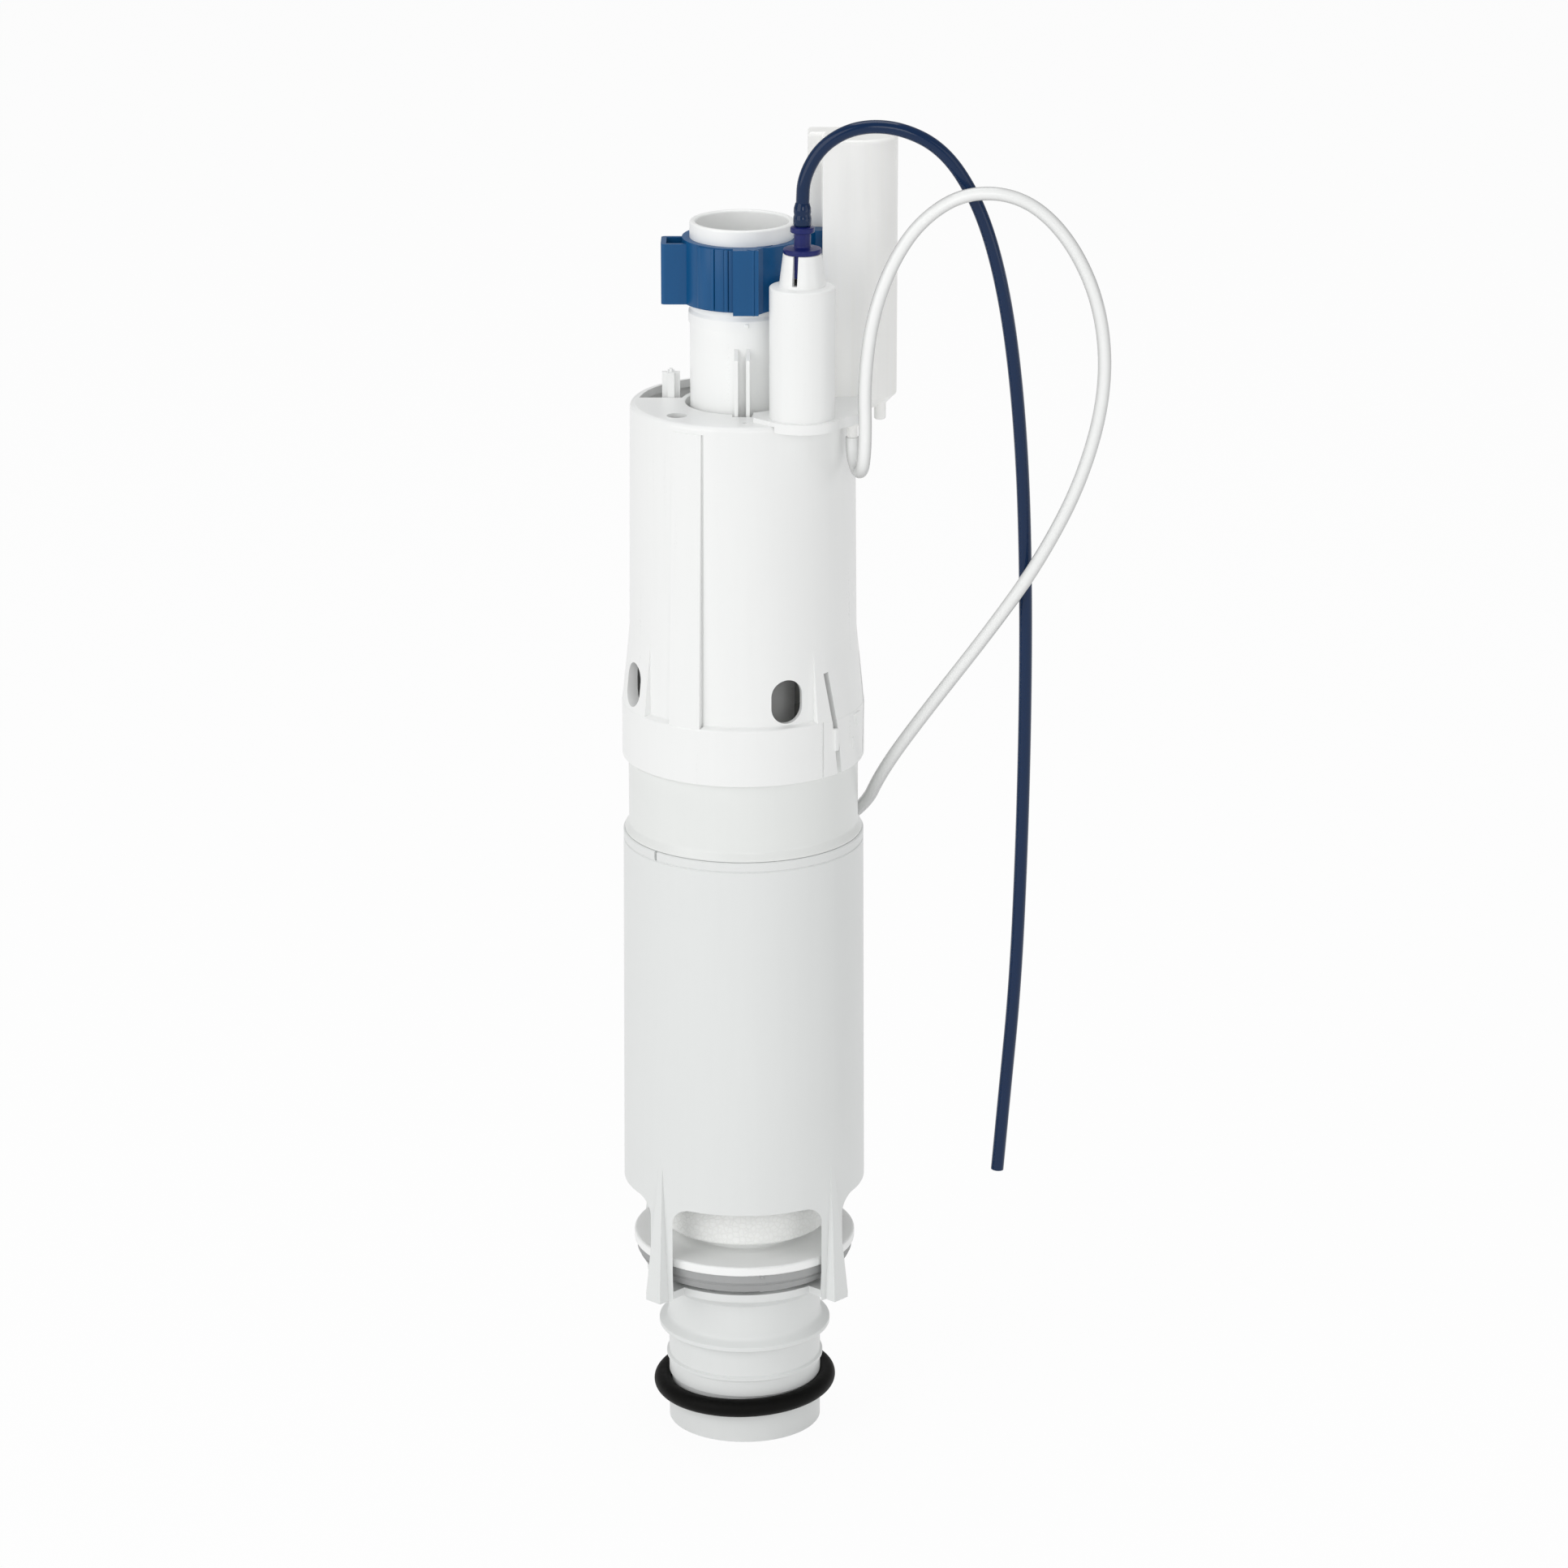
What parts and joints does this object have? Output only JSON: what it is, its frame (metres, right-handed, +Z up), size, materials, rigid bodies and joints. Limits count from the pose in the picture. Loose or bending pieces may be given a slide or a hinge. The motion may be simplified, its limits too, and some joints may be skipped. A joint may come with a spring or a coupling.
{
  "type": "float valve",
  "caption": "Pneumatic flush valve of a concealed cistern: outlet spigot with seal, legged body, telescoped shell, overflow tube, float, lift cylinder and air hoses.",
  "frame": {"origin": "centre of the outlet spigot's lower rim, on the valve's axis", "axes": "+Z up along the valve's axis; -Y towards the front, where the trip cylinder stands; +X towards the lift cylinder"},
  "size_m": [0.1472, 0.0754, 0.4229],
  "materials": {
    "body_white": "satin",
    "shell_white": "satin",
    "tube_white": "satin",
    "natural_plastic": "satin",
    "disc_grey": "satin",
    "seal_grey": "matte",
    "black_rubber": "matte",
    "float_foam": "matte",
    "clamp_blue": "satin",
    "nipple_blue": "satin",
    "hose_blue": "satin",
    "hose_clear": "gloss",
    "spring_steel": "satin"
  },
  "bodies": {
    "seat": {"outlet_seat": "body_white", "outlet_o_ring": "black_rubber"},
    "housing": {"lower_body": "body_white", "retaining_ring": "body_white", "guide_sleeve": "shell_white", "tube_guide": "shell_white", "upper_shell": "shell_white", "actuator_bracket": "shell_white", "lift_cylinder": "natural_plastic", "cylinder_base": "natural_plastic", "rod_gland": "natural_plastic", "trip_cylinder": "shell_white", "trip_nipple": "nipple_blue", "trip_spring": "spring_steel", "yoke_pins": "spring_steel", "clear_hose_nipple": "natural_plastic", "blue_hose": "hose_blue", "clear_hose": "hose_clear"},
    "riser": {"overflow_tube": "tube_white", "joint_seal": "black_rubber", "overflow_extension": "tube_white", "valve_plate": "disc_grey", "valve_seal": "seal_grey", "plate_retainer": "tube_white", "lifter_clamp": "clamp_blue"},
    "float": {"float_block": "float_foam", "float_rod": "shell_white"},
    "piston": {"lift_piston": "natural_plastic", "piston_seal": "black_rubber", "crosshead": "natural_plastic"},
    "plunger": {"trip_plunger": "natural_plastic", "plunger_seal": "black_rubber"},
    "yoke": {"half_flush_yoke": "natural_plastic"}
  },
  "joints": [
    {"name": "bayonet_turn", "type": "hinge", "parent": "seat", "child": "housing", "pos_m": [0, 0, 0.0506], "axis": [0, 0, 1], "range_deg": [0, 30]},
    {"name": "flush_lift", "type": "slide", "parent": "housing", "child": "riser", "axis": [0, 0, 1], "range_m": [0, 0.018]},
    {"name": "float_rise", "type": "slide", "parent": "riser", "child": "float", "axis": [0, 0, 1], "range_m": [0, 0.02]},
    {"name": "piston_slide", "type": "slide", "parent": "housing", "child": "piston", "axis": [0, 0, 1], "range_m": [0, 0.018]},
    {"name": "trip_press", "type": "slide", "parent": "housing", "child": "plunger", "axis": [0, 0, -1], "range_m": [0, 0.006], "stiffness_N_per_m": 200, "springref_m": -0.01, "deforming": ["trip_spring"]},
    {"name": "yoke_tilt", "type": "hinge", "parent": "housing", "child": "yoke", "pos_m": [0, 0, 0.3188], "axis": [0.9397, 0.342, 0], "range_deg": [0, 12]}
  ],
  "couplings": [
    {"joint": "piston_slide", "follows": "flush_lift", "ratio": 1},
    {"joint": "yoke_tilt", "follows": "trip_press", "rad_per_m": 34.13}
  ]
}
